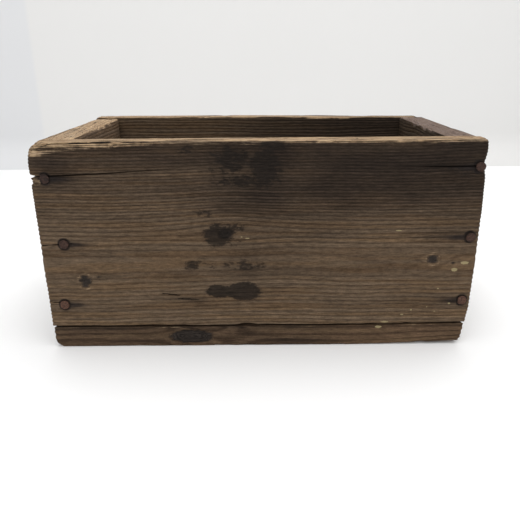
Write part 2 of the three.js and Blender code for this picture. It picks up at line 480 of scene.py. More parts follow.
def curl(s):
    """How much of that rise there is along s, from 0 to 1."""
    return smooth(110, 240, s)


def split_path(s):
    """The grain line that has opened at both ends of the front board: its height along s."""
    rise = 193 + 10.5 * smooth(-232, 10, s)
    return rise - 3.2 * smooth(20, 175, s)


def front_board(material):
    board = Board("front_board", X, Z, outward=-1, seed=11, t_spots=[(197, 6, 0.55)])
    s = board.flat[:, 0]
    across = board.follow_split(split_path(s))
    s, t, d = board.coordinates
    left = smooth(-100, -228, s)
    top = smooth(205, 222, t)
    outer = smooth(14, 4, d)
    worn = 0.7 + 0.6 * board.noise((40, 6, 6), 60) + 3.8 * smooth(-196, -230, s) * top * outer
    worn += (2.2 + 1.0 * board.noise((26, 6, 6), 65)) * top * outer
    worn += 1.2 * smooth(-218, -230, s) * top
    board.round_edges(worn, least=0.4)

    knots = [
        knot(-187.4, 79.6, 7.0, 2.4, 16, 9, stretch=0.78),
        knot(184.3, 101.7, 4.5, 2.2, 22, 10, stretch=1.1, eye=2.6),
        knot(-35, 131.5, 5.0, 6.0, 46, 46, stretch=1.5),
        knot(-172, 84, 1.2, 0.8, 8, 5),
        knot(206, 97.5, 1.2, 0.5, 9, 5, stretch=1.6),
    ]
    grow_rings(board, pith=(100, -15), pitch=4.35, knots=knots, waver=0.26, tighter=152)
    faint = 0.62 * bell(t - 99, 15) + 0.35 * smooth(195, 204, t)
    faint += 0.4 * smooth(145, 190, t) * smooth(-10, 90, s)
    board.fields["faint"] = np.minimum(faint, 0.65) * smooth(6, 2, d)
    raise_grain(board, 0.45)

    corner = 7 * smooth(FRONT_TOP - 13, FRONT_TOP + 1, t) ** 2
    notch = 6.5 * np.clip(1 - np.abs(t - 193.4) / 1.9, 0, 1)
    broken = 1.2 * smooth(182, 187, t) * smooth(193.5, 190, t)
    start = corner + notch + broken + tear_ends(board, 0.1, 81)
    end = np.interp(t, *zip(*FRONT_END_LINE)) + tear_ends(board, 0.2, 91)
    board.trim_ends(start, end)
    board.shape[:, 1] += CURL * curl(s) * smooth(44, 27, t)

    width = 1.0 * smooth(-120, -225, s) + 0.3 * smooth(-40, -120, s)
    width += 0.75 * smooth(122, 222, s)
    open_split(board, across, width, 7 * smooth(0.05, 0.7, width))
    small_checks(board, [
        (-231, 55.2, -213, 53.6, 0.7, 1.6), (-231, 119.8, -196, 121.6, 0.6, 1.0),
        (-107, 64.5, -88, 62, 0.9, 1.2), (-88, 58, -68, 56, 0.9, 1.2),
        (-162, 40, -161, 29, 0.5, 0.6),
    ])

    split_rim(board, 0.6 + 1.0 * left**2, 101)
    break_lip(board)
    chip(board, -226, 187.5, 0, (6, 4, 5), 2.2, pale=0.5)
    chip(board, -150, FRONT_TOP, 0, (16, 2.2, 3), 1.0)
    chip(board, -16, 26, 0, (13, 2.6, 4), 2.0, pale=0.1)
    chips_along(board, 34, 111, depth=1.0)
    nail_marks(board, FRONT_NAIL_PLACES, 5.1, 0.9, streak=28)

    wear_arrises(board, 1.1, 0.45)
    halo_knots(board, knots[:2], 0.42)
    wear_rim(board, 0.9)
    board.fields["wear"] -= 0.16 * left * board.facing(1, 1)
    band = 2.2 + 9 * np.clip((-100 - s) / 115, 0, 1) + 4 * smooth(-200, -226, s)
    rubbed = (0.52 + 0.28 * left) * smooth(band + 3.5, 0.6 * band, FRONT_TOP - t)
    rubbed *= 1 - board.facing(2, 1)
    rubbed *= 0.85 + 0.6 * board.noise((40, 1.3, 1.3), 66)
    board.mark("wear", rubbed)

    patchy = board.noise((70, 16, 16), 110, 3)
    board.fields["soot_and_shade"] = front_grime_and_shade(s, t, patchy)
    board.fields["stain"] = smudges(s, t, FRONT_SMUDGES) * smooth(6, 2, d)
    board.build(material)


# where the front of the top edge has broken away: s, and how far behind the arris its lip lies
FRONT_LIP = [(-218, -3.5), (-196, -0.5), (-163, 3), (-146, 5)]


def break_lip(board):
    """At the left the front of the top edge has broken away from a lip, with a gap between, and a dark
    line is painted under the lip as its shadow.
    """
    s, t, d = board.coordinates
    behind = d - (FRONT_TOP - t)
    lip = np.interp(s, *zip(*FRONT_LIP)) + 1.2 * board.noise((9, 30, 30), 71)
    run = smooth(-223, -212, s) * smooth(-139, -149, s)
    gap = 0.4 + 1.1 * smooth(-168, -160, s) * smooth(-142, -148, s)
    board.sink += 1.3 * run * smooth(0.5, -0.7, behind - lip) * smooth(-14, -4, behind)
    # a dark line along the lip: painted shadow where the lip overhangs
    line = run * bell(behind - lip + 0.5 * gap, gap)
    board.mark("crack_and_shadow", line)


# small drops of old paint: s, t, half length and half height. The last two, beside the knot in the
# middle, are painted glints.
FRONT_PAINT_AND_GLINTS = [
    (218.3, 97.4, 4.2, 1.7), (208, 89.6, 3.2, 2.0), (138, 28.3, 4.2, 1.1), (207, 50, 1.4, 1.0),
    (166, 42.5, 1.0, 1.0), (193, 67.8, 1.2, 0.7), (145, 133.8, 3.2, 0.6), (156.3, 37, 1.8, 0.8),
    (192, 40.5, 0.9, 0.6), (183, 46, 0.8, 0.6), (-12.5, 126.5, 2.2, 0.6), (-18.5, 128, 1.2, 0.5),
]


# how heavy the grime is at each height
GRIME_HEIGHTS = [
    (30, 0.03), (45, 0.06), (60, 0.17), (85, 0.1), (100, 0.18), (115, 0.17), (130, 0.32), (145, 0.3),
    (160, 0.45), (175, 0.5), (190, 0.52), (204, 0.54), (220, 0.55),
]

# where it is heavier or lighter: s, t, half length, half height and how much. The patches at (-86, 59)
# and (-66, 55) lie along small checks and partly paint their shade.
GRIME_AND_SHADE_PATCHES = [
    (-204, 190, 24, 11, 0.5), (198, 190, 46, 20, 0.15), (165, 100, 60, 13, -0.24),
    (205, 93, 26, 15, -0.22), (-188, 38, 66, 26, -0.22), (-200, 98, 44, 9, -0.16),
    (2, 100, 46, 32, 0.22), (12, 150, 52, 15, 0.2), (0, 172, 22, 9, 0.35), (-58, 182, 42, 20, 0.2),
    (44, 200, 18, 20, -0.14), (190, 127, 34, 8, 0.45), (172, 55, 52, 7, 0.3), (-86, 59, 24, 6, 0.34),
    (145, 70, 30, 7, 0.14), (-196, 54, 22, 5, 0.12), (-112, 97, 26, 6, -0.12), (-189, 93, 10, 3, 0.4),
    (-188, 71.5, 9, 2.5, -0.4), (187, 101, 16, 8, -0.3), (24, 212, 12, 10, 0.25),
    (-209, 206, 16, 8, 0.25), (-33, 160, 16, 6, 0.25), (88, 160, 22, 6, 0.35), (66, 130, 22, 6, 0.25),
    (145, 205, 60, 8, 0.25), (-66, 55, 16, 5, 0.45), (-77, 86, 12, 6, 0.25), (-11, 85, 12, 6, 0.3),
    (22, 70, 18, 6, 0.25), (-11, 55, 12, 5, 0.3),
]


def front_grime_and_shade(s, t, patchy):
    """Grime: heaviest along the top and towards the upper right, lightest at the lower left. Two patches
    along the small checks are partly painted shade.
    """
    soot_and_shade = np.interp(t, *zip(*GRIME_HEIGHTS))
    soot_and_shade += 0.28 * smooth(197, 208, t) * smooth(40, -60, s)
    soot_and_shade += 0.44 * smooth(128, 188, t) * smooth(-75, 25, s)
    for s0, t0, length, height, amount in GRIME_AND_SHADE_PATCHES:
        soot_and_shade += amount * bell(s - s0, length) * bell(t - t0, height)
    return soot_and_shade + 0.2 * patchy


# old smudges of grime, with no meaning: s, t, half length, half height and strength
FRONT_SMUDGES = [
    (-28, 209, 20, 15, 0.66), (6, 201, 15, 19, 0.85), (14, 222, 15, 8, 0.65), (-43, 196, 10, 9, 0.4),
    (-12, 187, 32, 7, 0.68), (-72, 219, 12, 6, 0.45), (-56, 154, 10, 4.5, 0.5),
    (-43, 130, 13, 11, 1.05), (-26, 138, 12, 7, 0.6), (-27, 122, 12, 5, 0.45), (-70, 97, 9, 6.5, 0.68),
    (-52, 96, 10, 4, 0.45), (-34, 97, 9, 5, 0.5), (-16, 96, 11, 7.5, 0.62), (0, 97, 7, 6, 0.52),
    (-44, 66.5, 11.5, 6, 1.5), (-31, 66, 11, 5, 1.35), (-17, 66.5, 14.5, 8.5, 1.6),
    (186, 199.5, 34, 4, 0.42), (206, 195, 14, 7, 0.45),
]


def smudges(s, t, spots):
    total = np.zeros(len(s))
    for s0, t0, length, height, strength in spots:
        away = ((s - s0) / length) ** 2 + ((t - t0) / height) ** 2
        total = np.maximum(total, strength * np.exp(-0.6 * away**1.5))
    return total


def back_board(material):
    board = Board("back_board", X, Z, outward=1, seed=23)
    s, t, d = board.coordinates
    top = smooth(205, 222, t)
    inner_top = top * smooth(8, 18, d)
    scoop = 2.2 * inner_top * smooth(48, 74, s) * smooth(150, 118, s)
    worn = 0.9 + 0.8 * board.noise((45, 6, 6), 60) + 0.4 * top + scoop
    board.round_edges(worn)
    outer_knots = [
        knot(96, 84, 6.5, 4.5, 24, 16, stretch=1.2),
        knot(-128, 150, 4.2, 3.0, 18, 12),
        knot(-60, 63, 2.5, 1.6, 12, 8),
    ]
    inner_knots = [knot(-70, 168, 4.5, 3.5, 20, 14), knot(120, 110, 6, 4, 24, 15)]
    grow_rings(board, pith=(128, -22), pitch=3.5, knots=outer_knots, inner_knots=inner_knots)
    board.fields["faint"] = 0.3 * smooth(12, 20, d)
    raise_grain(board, 0.5)
    corners = 3 * smooth(BACK_TOP - 10, BACK_TOP + 1, t) ** 2
    start = corners + tear_ends(board, 0.5, 83)
    end = 1.0 + 2 * corners + tear_ends(board, 0.5, 93)
    board.trim_ends(start, end)
    small_checks(board, [
        (170, 61, 231, 57.5, 0.9, 2.2), (-231, 176, -176, 178, 0.8, 1.8),
        (40, 140, 92, 142, 0.7, 1.2),
    ])
    split_rim(board, 0.5, 103)
    chips_along(board, 40, 113, depth=1.2)
    places = [(-215, 196), (-219, 118), (-215, 57), (216, 193), (220, 128), (218.5, 50)]
    nail_marks(board, places, 5.1, 0.9, streak=22)
    wear_arrises(board, 1.3, 0.5)
    wear_rim(board, 0.9)
    board.sink += 1.3 * smooth(-90, 120, s) * board.facing(1, 1)
    board.shape[:, 1] -= 1.4 * smooth(30, 200, s) * smooth(BACK_TOP - 25, BACK_TOP, t)
    board.fields["wear"] *= 1 - 0.1 * board.facing(1, 1) * smooth(-130, -60, s)
    scooped = 0.7 * smooth(1, 2.2, scoop) * smooth(5, 2, BACK_TOP - t)
    board.mark("wear", scooped)
    patchy = board.noise((75, 18, 18), 100, 3)
    inside = smooth(0.4, 0.9, d / board.thickness)
    outer_soot = 0.35 + 0.35 * smooth(120, 215, t) + 0.15 * smooth(70, 30, t)
    # the inner face darkens towards the right: partly grime, partly painted shade inside the crate
    inner_grime_and_shade = 0.2 + 0.82 * smooth(-170, 170, s)
    board.fields["soot_and_shade"] = blend(inside, outer_soot, inner_grime_and_shade) + 0.22 * patchy
    board.build(material)


def end_board(node, outward, seed, material, soot_and_shade, soft_top, chipped, dips):
    board = Board(node, Y, Z, outward=outward, seed=seed, steps=(3.0, 0.95))
    s, t, d = board.coordinates
    top = smooth(205, 222, t)
    worn = 0.9 + soft_top * top * (1.5 + 1.1 * board.noise((30, 6, 6), 2))
    board.round_edges(worn)
    knots = [knot(-38, 150, 5, 3.5, 20, 14, stretch=1.2), knot(58, 92, 3.2, 2.2, 14, 10)]
    inner_knots = [knot(30, 120, 5.5, 4, 22, 14)]
    pith = (30 + 4 * (seed % 5), board.thickness + 34)
    grow_rings(board, pith, pitch=4.1, knots=knots, inner_knots=inner_knots)
    board.fields["faint"] = 0.75 * smooth(16, 26, d)
    raise_grain(board, 0.55)
    board.trim_ends(tear_ends(board, 0.1, seed + 5), tear_ends(board, 0.1, seed + 6))
    small_checks(board, [
        (-108, 170, -52, 172, 0.8, 1.8), (34, 64, 108, 61, 0.8, 2.0),
    ])
    split_rim(board, 0.6, seed + 7)
    for s0, reach, depth in dips:
        board.sink += depth * bell(s - s0, reach) * board.facing(1, 1)
    for s0, length, depth in chipped:
        chip(board, s0, END_TOP, board.thickness, (length, 4.5, 6), depth, pale=0.5)
    chips_along(board, 22, seed + 8)
    wear_arrises(board, 1.6, 0.5)
    wear_rim(board, 1.0)
    patchy = board.noise((60, 18, 18), 9, 3)
    inside = smooth(0.4, 0.9, d / board.thickness)
    outer_soot = soot_and_shade[0] + 0.4 * smooth(120, 215, t)
    # the second number sets the inner face, and is partly painted light and shade inside the crate
    board.fields["soot_and_shade"] = blend(inside, outer_soot, soot_and_shade[1]) + 0.22 * patchy
    board.build(material)


def bottom_board(row, seed, material, end_cut, foot_round):
    node = "bottom_board_" + row
    nails = [nail_place(name) for name in BOTTOM_NAILS if on_board(name, node)]
    spots = [(place[0], 5, 1.2) for place in nails]
    board = Board(node, X, Y, outward=-1, seed=seed, s_spots=spots)
    s, _, d = board.coordinates
    near = board.low[1]
    worn = 1.1 + 0.9 * board.noise((40, 6, 6), 2)
    board.round_edges(worn)
    knots = [knot(-120 + 7 * (seed % 9), near + 52, 6, 4.5, 24, 15, stretch=1.2)]
    inner_knots = [knot(70 - 5 * (seed % 7), near + 30, 5, 4, 22, 14)]
    pith = (near + 30, board.thickness + 26)
    grow_rings(board, pith, pitch=5.8, knots=knots, inner_knots=inner_knots)
    if row == "front":
        edge_knot(board, s0=-77.5, d0=11.6, half_length=22.5, half_height=7.8)
    raise_grain(board, 0.5)
    low_corner = smooth(9, 0, d) ** 2
    start = foot_round[0] * low_corner + tear_ends(board, 0.35, seed + 5)
    end = foot_round[1] * low_corner + end_cut * smooth(24, 4, d) + tear_ends(board, 0.35, seed + 6)
    board.trim_ends(start, end)
    if row == "front":
        curl_edge(board)
    small_checks(board, [
        (96, near + 61, 231, near + 64, 0.8, 1.8),
        (-231, near + 22, -170, near + 24, 0.8, 1.8),
    ])
    chips_along(board, 26, seed + 8, depth=1.3)
    nail_marks(board, nails, 4.0, 2.4, streak=10)
    wear_arrises(board, 1.2, 0.42)
    patchy = board.noise((60, 14, 14), 9, 3)
    inside = smooth(0.7, 0.98, d / board.thickness)
    # painted shade low on the board, near the floor, over the middle of its length
    floor_shade = 0.45 * smooth(14, 5, d) * bell(s - 52, 52)
    board.fields["soot_and_shade"] = 0.5 - 0.42 * smooth(-30, 130, s) + floor_shade + 0.35 * inside + 0.28 * patchy
    board.build(material)


def curl_edge(board):
    """The bottom board's front edge curls up at the right end, its lower arris most of all."""
    s, t, d = board.coordinates
    near_edge = smooth(board.low[1] + 22, board.low[1] + 10, t)
    board.spare = CURL
    board.shape[:, 2] += curl(s) * near_edge * (CURL + 2.4 * smooth(16, 0, d))


def edge_knot(board, s0, d0, half_length, half_height):
    """A knot cut through lengthwise on the front edge, with the grain swept round it."""
    s, t, d = board.coordinates
    on_edge = smooth(10, 2, t - board.low[1])
    ragged = 1 + 0.36 * fbm(board.flat, (7, 3, 3), 141)
    away = np.hypot((s - s0) / half_length, (d - d0) / half_height) * ragged
    inside = smooth(1.12, 0.92, away) * on_edge
    sweep = on_edge * bell(s - s0 - 18, 40) * (d - d0) / 7
    rings = board.fields["ring"] + 1.6 * sweep + on_edge * 0.7 * bell(s - s0, 26) * smooth(1, 2.2, away)
    own_rings = 4.2 * away + 1.3 * fbm(board.flat, (11, 3, 3), 143)
    board.fields["ring"] = blend(inside, rings, own_rings)
    board.mark("knot", inside)


# -------- nails

# how far the crust is rubbed off some of the heads; the lower left head's large share also paints its
# highlight
RUBBED_AND_HIGHLIT_HEADS = {
    "front_nail_left_top": -0.2, "front_nail_left_middle": 0.12, "front_nail_left_bottom": 1.25,
    "front_nail_right_top": 0.15, "front_nail_right_middle": 0.35, "front_nail_right_bottom": 1.1,
}


def axis_of(node):
    """A nail's tip and head centre in mm, read from its CAD node: it is round about its own axis."""
    points = np.array([v.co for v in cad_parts[node].data.vertices]) / MM
    points = np.unique(points.round(3), axis=0)
    middle = points.mean(0)
    tip = points[np.argmax(np.linalg.norm(points - middle, axis=1))]
    direction = (middle - tip) / np.linalg.norm(middle - tip)
    head = tip + direction * ((points - tip) @ direction).max()
    return tip, head


def nail_place(node):
    head = axis_of(node)[1]
    return head[0], head[1]


def on_board(name, node):
    low, high = (np.array(corner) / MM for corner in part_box(node))
    place = nail_place(name)
    return low[1] < place[1] < high[1]


def lathe(rings, segments):
    """Points and quads of a turned shape. rings are (radius, height), from the axis to the axis."""
    angles = np.arange(segments) * 2 * np.pi / segments
    turn = np.stack([np.cos(angles), np.sin(angles)], 1)
    rows = [np.column_stack([turn * radius, np.full(segments, height)]) for radius, height in rings]
    number = np.arange(segments)
    after = np.roll(number, -1)
    quads = [
        np.stack([row * segments + number, row * segments + after, (row + 1) * segments + after,
                  (row + 1) * segments + number], 1)
        for row in range(len(rings) - 1)
    ]
    return np.concatenate(rows), np.concatenate(quads)


def make_nail(node, seed, material):
    """A common wire nail, rusted and hammered: the head's face is dented and its rim uneven."""
    tip, head = axis_of(node)
    length = np.linalg.norm(head - tip)
    low, high = (np.array(corner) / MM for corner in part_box(node))
    radius = np.sort(high - low)[:2].mean() / 2 if "bottom" in node else HEAD_RADIUS
    shank = radius * SHANK_SHARE
    thick = radius * HEAD_SHARE
    neck = length - thick
    rim = radius * 0.995
    rings = [(0.02, 0), (shank * 0.55, 4), (shank * 0.97, 8)]
    rings += [(shank * 0.97, 8 + (neck - 10) * step / 12) for step in range(1, 13)]
    rings += [(shank * 1.02, neck - 0.5), (shank * 1.3, neck - 0.1)]
    rings += [(radius * share, neck) for share in (0.7, 0.85)]
    rings += [(rim * 0.985, neck + 0.05 * thick), (rim, neck + 0.25 * thick), (rim, neck + 0.55 * thick)]
    rings += [(rim * 0.975, neck + 0.78 * thick), (rim * 0.93, neck + 0.9 * thick)]
    rings += [(rim * share, length - 0.1 * share) for share in (0.85, 0.7, 0.55, 0.4, 0.25, 0.12, 0.004)]
    points, quads = lathe(rings, 40)
    on_head = smooth(neck - 1, neck + 0.2, points[:, 2])
    sideways = points[:, :2] / np.maximum(np.linalg.norm(points[:, :2], axis=1), 0.5)[:, None]
    lumps = fbm(points, (1.6, 1.6, 1.6), seed)
    dents = fbm(points, (4.2, 4.2, 9), seed + 4, 2)
    bite = 0.1 + 0.2 * np.abs(lumps) + 0.9 * np.maximum(dents, 0)
    points[:, :2] -= sideways * (bite * on_head)[:, None]
    face = smooth(length - 0.5 * thick, length - 0.1 * thick, points[:, 2])
    points[:, 2] -= face * (0.1 + 0.12 * lumps + 0.3 * smooth(0.1, 0.6, dents))
    turn = Vector((head - tip) / length).to_track_quat("Z", "Y").to_matrix()
    placed = np.clip(points @ np.array(turn).T + tip, low, high)
    mesh = closed_mesh(node + "_iron", placed * MM, quads)
    cap_ends(mesh)
    rubbed = mesh.attributes.new("rubbed", "FLOAT", "POINT")
    rubbed.data.foreach_set("value", [RUBBED_AND_HIGHLIT_HEADS.get(node, 0.3)] * len(mesh.vertices))
    mesh.materials.append(material)
    piece = new_object(node + "_iron", mesh)
    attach(piece, "root")
    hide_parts(node)


def cap_ends(mesh):
    """Merges the tiny rings at a lathe's two ends, which leaves a pinhole at most."""
    shape = bmesh.new()
    shape.from_mesh(mesh)
    bmesh.ops.remove_doubles(shape, verts=shape.verts, dist=0.03 * MM)
    bmesh.ops.recalc_face_normals(shape, faces=shape.faces)
    for face in shape.faces:
        face.smooth = True
    shape.to_mesh(mesh)
    shape.free()


# -------- materials


# the y in mm where paint flecks begin to show, and where they show in full
FRONT_FACES = (-128.0, -132.0)


class Shader:
    """A short way to write a node material: each call adds one node and returns its output."""

    def __init__(self, name):
        self.material = bpy.data.materials.new(name)
        self.material.use_nodes = True
        self.tree = self.material.node_tree
        self.tree.nodes.clear()

    def add(self, kind, inputs=(), output=0, **settings):
        node = self.tree.nodes.new("ShaderNode" + kind)
        for setting, value in settings.items():
            setattr(node, setting, value)
        for socket, value in dict(inputs).items():
            target = node.inputs[socket]
            if isinstance(value, bpy.types.NodeSocket):
                self.tree.links.new(value, target)
            else:
                target.default_value = value
        return node.outputs[output] if node.outputs else None

    def math(self, operation, a, b=0.0, c=0.0):
        return self.add("Math", {0: a, 1: b, 2: c}, operation=operation)

    def times(self, a, b):
        return self.math("MULTIPLY", a, b)

    def attribute(self, name):
        return self.add("Attribute", output="Fac", attribute_name=name)

    def position(self, scale):
        """The point on the object in millimetres, divided by scale along each axis."""
        here = self.add("TexCoord", output="Object")
        size = [1 / (MM * length) for length in scale]
        return self.add("VectorMath", {0: here, 1: size}, operation="MULTIPLY")

    def coordinate(self, axis):
        """The point's place along one axis, in millimetres."""
        return self.add("SeparateXYZ", {0: self.position((1, 1, 1))}, output=axis)

    def noise(self, scale, detail=3.0, rough=0.55):
        where = self.position(scale)
        inputs = {"Vector": where, "Scale": 1.0, "Detail": detail, "Roughness": rough}
        return self.add("TexNoise", inputs)

    def ramp(self, value, low, high):
        """0 below low, 1 above high, smooth in between."""
        inputs = {"Value": value, "From Min": low, "From Max": high}
        return self.add("MapRange", inputs, interpolation_type="SMOOTHSTEP")

    def ramp_to(self, value, low, high, start, end):
        """start below low, end above high."""
        inputs = {"Value": value, "From Min": low, "From Max": high, "To Min": start, "To Max": end}
        return self.add("MapRange", inputs)

    def stir(self, value, noise, amount):
        """value, plus noise that lies evenly about zero, times amount."""
        return self.math("ADD", value, self.times(self.math("SUBTRACT", noise, 0.5), amount))

    def fleck(self, spot, along):
        """1 inside a ragged spot on the front face. spot is (s, z, half length, half height)."""
        here, up, through = (self.coordinate(axis) for axis in (along, Z, Y))
        s, z, length, height = spot
        far = self.times(self.math("SUBTRACT", here, s), 1 / length)
        off = self.times(self.math("SUBTRACT", up, z), 1 / height)
        away = self.math("ADD", self.math("POWER", far, 2.0), self.math("POWER", off, 2.0))
        away = self.stir(away, self.noise((1.2, 1.2, 1.2), 2), 1.6)
        return self.times(self.ramp(away, 1.15, 0.85), self.ramp(through, *FRONT_FACES))

    def mix(self, share, a, b, blend="MIX"):
        inputs = {0: share, 6: colour(a), 7: colour(b)}
        return self.add("Mix", inputs, output=2, data_type="RGBA", blend_type=blend)

    def curve(self, value, stops):
        """A smooth curve through (place, height) stops, from 0 to 1."""
        node = self.tree.nodes.new("ShaderNodeValToRGB")
        node.color_ramp.interpolation = "EASE"
        elements = node.color_ramp.elements
        for place, height in stops[2:]:
            elements.new(place)
        for element, (place, height) in zip(elements, sorted(stops)):
            element.position = place
            element.color = (height, height, height, 1)
        self.tree.links.new(value, node.inputs[0])
        return node.outputs[0]

    def finish(self, **inputs):
        surface = self.add("BsdfPrincipled", {k.replace("_", " "): v for k, v in inputs.items()})
        self.add("OutputMaterial", {"Surface": surface})
        return self.material


def colour(value):
    return value if isinstance(value, bpy.types.NodeSocket) else (*value, 1.0)


# how light the wood is across one ring, from one dark line to the next
PROFILE = [(0.0, 0.0), (0.1, 0.12), (0.32, 0.8), (0.74, 1.0), (0.92, 0.3), (1.0, 0.0)]


def wood(name, along, look):
    """Weathered softwood. along is the axis that the grain runs on, and look is its colours."""
    m = Shader(name)

    def grained(length, width):
        return [length if axis == along else width for axis in range(3)]

    fields = ("ring", "knot", "wear", "soot_and_shade", "stain", "crack_and_shadow", "rust", "faint")
    ring, knot_core, wear, soot_and_shade, stain, crack_and_shadow, rust, faint = map(m.attribute, fields)
    clear = m.math("SUBTRACT", 1.0, faint)
    fibre = m.noise(grained(38, 0.8), 4)
    fine = m.noise(grained(9, 0.28), 3)
    grit = m.noise(grained(9, 1.3), 4, 0.6)
    streak = m.noise(grained(120, 5), 3)
    blotch = m.noise(grained(34, 17), 4)
    speck = m.noise(grained(5.5, 3.2), 5, 0.65)
    pore = m.noise(grained(1.8, 0.9), 2)

    # the rings, each with its own strength; where grime and painted shade darken them only thin crests
    # stay light
    phase = m.stir(ring, fibre, 0.26)
    part = m.math("FRACT", phase)
    crest = m.curve(part, PROFILE)
    crest = m.math("POWER", crest, m.ramp_to(soot_and_shade, 0.0, 1.0, 0.75, 1.9))
    own = m.add("TexWhiteNoise", {"W": m.math("FLOOR", phase)}, noise_dimensions="1D")
    strength = m.math("MULTIPLY_ADD", own, 0.46, look["contrast"])
    strength = m.times(strength, m.ramp_to(soot_and_shade, 0.0, 0.6, 0.82, 1.05))
    strength = m.math("MULTIPLY_ADD", strength, clear, m.math("MULTIPLY_ADD", clear, -0.22, 0.22))
    band = m.times(crest, strength)

    base = m.mix(band, look["valley"], look["ridge"])
    warm = m.mix(band, look["warm_valley"], look["warm_ridge"])
    base = m.mix(m.ramp(streak, 0.42, 0.62), base, warm)

    # grime and painted shade, then knots
    grime_and_shade = m.stir(soot_and_shade, blotch, 0.5)
    base = m.mix(m.ramp(grime_and_shade, -0.1, 1.25), base, m.mix(band, look["grime_and_shade"], look["grime_and_shade_ridge"]))
    heart = m.mix(m.times(crest, 0.6), look["knot"], look["knot_ridge"])
    base = m.mix(m.times(knot_core, 0.95), base, heart)

    # bare wood where it is rubbed, torn along the fibres
    torn = m.stir(wear, fibre, 1.1)
    torn = m.stir(torn, speck, 0.5)
    bare = m.ramp(torn, 0.3, 0.75)
    pale = m.mix(m.ramp(fibre, 0.4, 0.62), look["pale_dark"], look["pale"])
    pale = m.mix(m.times(m.ramp(fine, 0.45, 0.65), 0.6), pale, look["pale_light"])
    pale = m.mix(m.times(m.ramp(streak, 0.5, 0.66), 0.5), pale, look["pale_grey"])
    base = m.mix(bare, base, pale)

    # stains, iron, paint and painted glints, and cracks with the painted shadow under the front lip
    soak = m.stir(stain, speck, 1.7)
    soak = m.stir(soak, fibre, 0.5)
    soak = m.times(m.ramp(soak, 0.3, 0.66), m.ramp(stain, 0.05, 0.3))
    base = m.mix(m.times(soak, 0.86), base, look["stain"])
    iron = m.stir(rust, fibre, 0.6)
    base = m.mix(m.times(m.ramp(iron, 0.12, 0.8), 0.88), base, look["iron"])

    # uneven wear of the surface, from fine fibres up to broad patches
    shade = m.stir(1.0, fine, 0.7)
    for noise, amount in ((fibre, 0.8), (grit, 1.7), (blotch, 0.7), (speck, 0.5), (pore, 0.75)):
        shade = m.times(shade, m.stir(1.0, noise, amount))
    shade = m.add("Mix", {0: m.times(bare, 0.5), 2: shade, 3: 1.0}, data_type="FLOAT")
    grey = m.add("CombineColor", {0: shade, 1: shade, 2: shade})
    base = m.mix(1.0, base, grey, "MULTIPLY")
    # on the front, two of these are painted glints, not paint
    for spot in look["flecks"]:
        base = m.mix(m.fleck(spot, along), base, look["paint"])
    # the crack colour also paints the shadow under the broken front lip
    base = m.mix(m.ramp(crack_and_shadow, 0.25, 0.8), base, look["gap"])

    height = m.times(crest, m.math("SUBTRACT", 1.0, m.times(bare, 0.6)))
    for noise, amount in ((fibre, 0.8), (fine, 0.4), (grit, 0.9)):
        height = m.math("MULTIPLY_ADD", noise, amount, height)
    bump = m.add("Bump", {"Height": height, "Strength": 0.8, "Distance": 0.45 * MM})
    rough = m.math("MULTIPLY_ADD", fine, 0.18, 0.78)
    return m.finish(Base_Color=base, Roughness=rough, Specular_IOR_Level=0.1, Normal=bump)


def wood_look(**changes):
    look = dict(
        contrast=0.25,
        valley=(0.075, 0.051, 0.033),
        ridge=(0.186, 0.132, 0.085),
        warm_valley=(0.079, 0.049, 0.028),
        warm_ridge=(0.192, 0.127, 0.072),
        grime_and_shade=(0.015, 0.0107, 0.008),
        grime_and_shade_ridge=(0.055, 0.037, 0.0265),
        knot=(0.013, 0.0105, 0.0095),
        knot_ridge=(0.045, 0.037, 0.032),
        pale=(0.4, 0.275, 0.16),
        pale_dark=(0.15, 0.085, 0.045),
        pale_light=(0.56, 0.43, 0.28),
        pale_grey=(0.3, 0.235, 0.17),
        stain=(0.0125, 0.0098, 0.008),
        iron=(0.016, 0.0125, 0.0115),
        gap=(0.004, 0.003, 0.0025),
        paint=(0.27, 0.22, 0.12),
        flecks=[],
    )
    look.update(changes)
    return look


def rusty_iron():
    m = Shader("rusty_iron")
    coarse = m.noise((2.6, 2.6, 2.6), 4)
    grain = m.noise((0.55, 0.55, 0.55), 4, 0.65)
    crust = m.mix(m.ramp(coarse, 0.4, 0.6), (0.022, 0.0135, 0.0110), (0.044, 0.025, 0.020))
    rust = m.math("MULTIPLY_ADD", m.attribute("rubbed"), 0.75, 0.15)
    # pale rust where the crust is rubbed off; on the lower left head it also paints a highlight
    crust = m.mix(m.times(m.ramp(grain, 0.42, 0.66), rust), crust, (0.17, 0.082, 0.052))
    crust = m.mix(m.times(m.ramp(grain, 0.46, 0.3), 0.7), crust, (0.018, 0.012, 0.011))
    bump = m.add("Bump", {"Height": grain, "Strength": 0.7, "Distance": 0.25 * MM})
    rough = m.math("MULTIPLY_ADD", grain, 0.5, 0.34)
    return m.finish(
        Base_Color=crust, Metallic=0.1, Roughness=rough, Specular_IOR_Level=0.15, Normal=bump
    )


# -------- studio


def sheet(name, profile, material):
    """A paper sheet, flat across X, that follows a profile of (y, z) points in metres."""
    points = [(x, y, z) for y, z in profile for x in (-4, 4)]
    faces = [(2 * i, 2 * i + 1, 2 * i + 3, 2 * i + 2) for i in range(len(profile) - 1)]
    mesh = bpy.data.meshes.new(name)
    mesh.from_pydata(points, [], faces)
    mesh.polygons.foreach_set("use_smooth", [True] * len(faces))
    mesh.materials.append(material)
    paper = new_object(name, mesh)


def floor_paper():
    return Shader("floor_paper").finish(Base_Color=(0.93, 0.93, 0.93, 1), Roughness=0.9)


def shaded_wall_paper():
    """Off-white, darker than the floor paper partly as painted shade, and a little cooler where a second
    sheet begins at the left.
    """
    m = Shader("shaded_wall_paper")
    second_sheet = m.ramp(m.coordinate(X), -650.0, -668.0)
    tone = m.mix(second_sheet, (0.74, 0.735, 0.725), (0.70, 0.705, 0.715))
    return m.finish(Base_Color=tone, Roughness=0.9)


